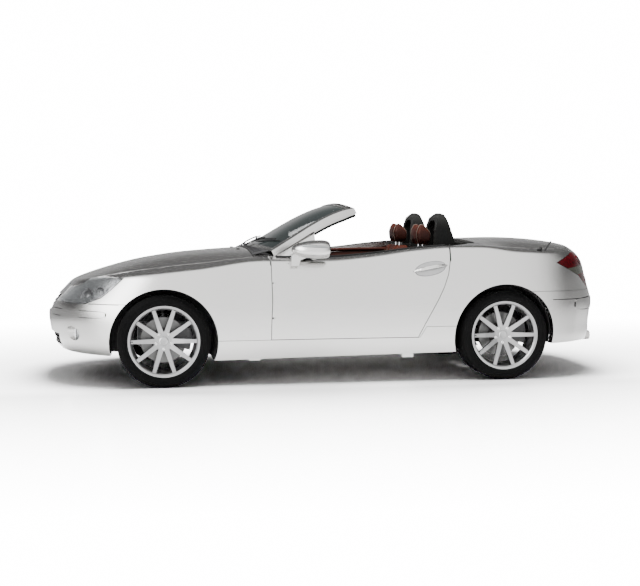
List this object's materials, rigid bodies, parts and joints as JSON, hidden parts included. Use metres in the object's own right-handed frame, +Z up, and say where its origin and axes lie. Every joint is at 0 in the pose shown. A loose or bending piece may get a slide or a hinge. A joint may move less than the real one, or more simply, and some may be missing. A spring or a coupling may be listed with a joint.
{
  "type": "convertible car",
  "caption": "Open two-seat convertible car with doors, bonnet and boot lid that open, steered front wheels and spoked alloy wheels.",
  "frame": {"origin": "on the ground under the middle of the car", "axes": "+X forward, +Y to the left side, +Z up"},
  "size_m": [4.0844, 2.0016, 1.2714],
  "materials": {
    "silver_paint": "clear-coated silver paint",
    "body_primer": "satin body-coloured primer",
    "black_plastic": "unpainted black plastic",
    "black_gloss": "gloss black",
    "tinted_glass": "lightly tinted laminated glass",
    "lamp_clear": "clear lamp lens",
    "lamp_red": "dark red lamp lens",
    "trim_plastic": "soft black cabin plastic",
    "red_leather": "brown-red leather",
    "red_trim": "brown-red covered panel",
    "cast_metal": "bare casting",
    "dark_steel": "dark painted steel",
    "dark_alloy": "dark alloy core",
    "steel_pipe": "plain steel pipe",
    "wheel_alloy": "silver painted alloy",
    "tyre_rubber": "black tyre rubber",
    "disc_iron": "machined brake disc"
  },
  "bodies": {
    "body": {"front_wings": "silver_paint", "scuttle": "silver_paint", "quarter_panels": "silver_paint", "floor_pan": "silver_paint", "front_bumper": "silver_paint", "rear_bumper": "silver_paint", "front_bulkhead": "body_primer", "rear_bulkhead": "trim_plastic", "boot_tub": "body_primer", "arch_liners": "black_plastic", "front_rails": "body_primer", "radiator": "dark_alloy", "engine": "cast_metal", "front_suspension": "dark_steel", "rear_axle": "dark_steel", "exhaust": "steel_pipe", "windscreen_frame": "silver_paint", "windscreen_glass": "tinted_glass", "dashboard": "trim_plastic", "console": "trim_plastic", "seat_cushions": "red_leather", "seat_backs": "red_leather", "headrests": "red_leather", "seat_frames": "trim_plastic", "roll_hoops": "black_gloss", "front_lamps": "lamp_clear", "tail_lamps": "lamp_red", "grille": "black_plastic", "antenna": "trim_plastic"},
    "door_left": {"door_left": "silver_paint", "door_trim_left": "red_trim", "mirror_left": "silver_paint"},
    "door_right": {"door_right": "silver_paint", "door_trim_right": "red_trim", "mirror_right": "silver_paint"},
    "bonnet": {"bonnet": "silver_paint"},
    "boot_lid": {"boot_lid": "silver_paint"},
    "steering_wheel": {"steering_wheel": "trim_plastic"},
    "knuckle_left": {"knuckle_front_left": "dark_steel"},
    "knuckle_right": {"knuckle_front_right": "dark_steel"},
    "wheel_front_left": {"rim_front_left": "wheel_alloy", "tyre_front_left": "tyre_rubber", "hub_front_left": "disc_iron"},
    "wheel_front_right": {"rim_front_right": "wheel_alloy", "tyre_front_right": "tyre_rubber", "hub_front_right": "disc_iron"},
    "wheel_rear_left": {"rim_rear_left": "wheel_alloy", "tyre_rear_left": "tyre_rubber", "hub_rear_left": "disc_iron"},
    "wheel_rear_right": {"rim_rear_right": "wheel_alloy", "tyre_rear_right": "tyre_rubber", "hub_rear_right": "disc_iron"}
  },
  "joints": [
    {"name": "door_left_hinge", "type": "hinge", "parent": "body", "child": "door_left", "pos_m": [0.466, 0.862, 0.5], "axis": [0, 0, -1], "range_deg": [0, 62]},
    {"name": "door_right_hinge", "type": "hinge", "parent": "body", "child": "door_right", "pos_m": [0.466, -0.862, 0.5], "axis": [0, 0, 1], "range_deg": [0, 62]},
    {"name": "bonnet_hinge", "type": "hinge", "parent": "body", "child": "bonnet", "pos_m": [0.612, 0, 0.92585], "axis": [0, -1, 0], "range_deg": [0, 50]},
    {"name": "boot_lid_hinge", "type": "hinge", "parent": "body", "child": "boot_lid", "pos_m": [-1.072, 0, 0.98288], "axis": [0, 1, 0], "range_deg": [0, 65]},
    {"name": "steer_left", "type": "hinge", "parent": "body", "child": "knuckle_left", "pos_m": [1.23, 0.7, 0.3186], "axis": [0, 0, 1], "range_deg": [-35, 35]},
    {"name": "steer_right", "type": "hinge", "parent": "body", "child": "knuckle_right", "pos_m": [1.23, -0.7, 0.3186], "axis": [0, 0, 1], "range_deg": [-35, 35]},
    {"name": "steering_wheel_turn", "type": "hinge", "parent": "body", "child": "steering_wheel", "pos_m": [0.02, 0.36, 0.8], "axis": [-0.9063, 0, 0.4226], "range_deg": [-480, 480]},
    {"name": "wheel_front_left_spin", "type": "hinge", "parent": "knuckle_left", "child": "wheel_front_left", "pos_m": [1.23, 0.765, 0.3186], "axis": [0, 1, 0], "continuous": true},
    {"name": "wheel_front_right_spin", "type": "hinge", "parent": "knuckle_right", "child": "wheel_front_right", "pos_m": [1.23, -0.765, 0.3186], "axis": [0, 1, 0], "continuous": true},
    {"name": "wheel_rear_left_spin", "type": "hinge", "parent": "body", "child": "wheel_rear_left", "pos_m": [-1.2, 0.756, 0.3186], "axis": [0, 1, 0], "continuous": true},
    {"name": "wheel_rear_right_spin", "type": "hinge", "parent": "body", "child": "wheel_rear_right", "pos_m": [-1.2, -0.756, 0.3186], "axis": [0, 1, 0], "continuous": true}
  ],
  "couplings": [
    {"joint": "steer_right", "follows": "steer_left", "ratio": 1},
    {"joint": "steering_wheel_turn", "follows": "steer_left", "ratio": 13.7}
  ]
}
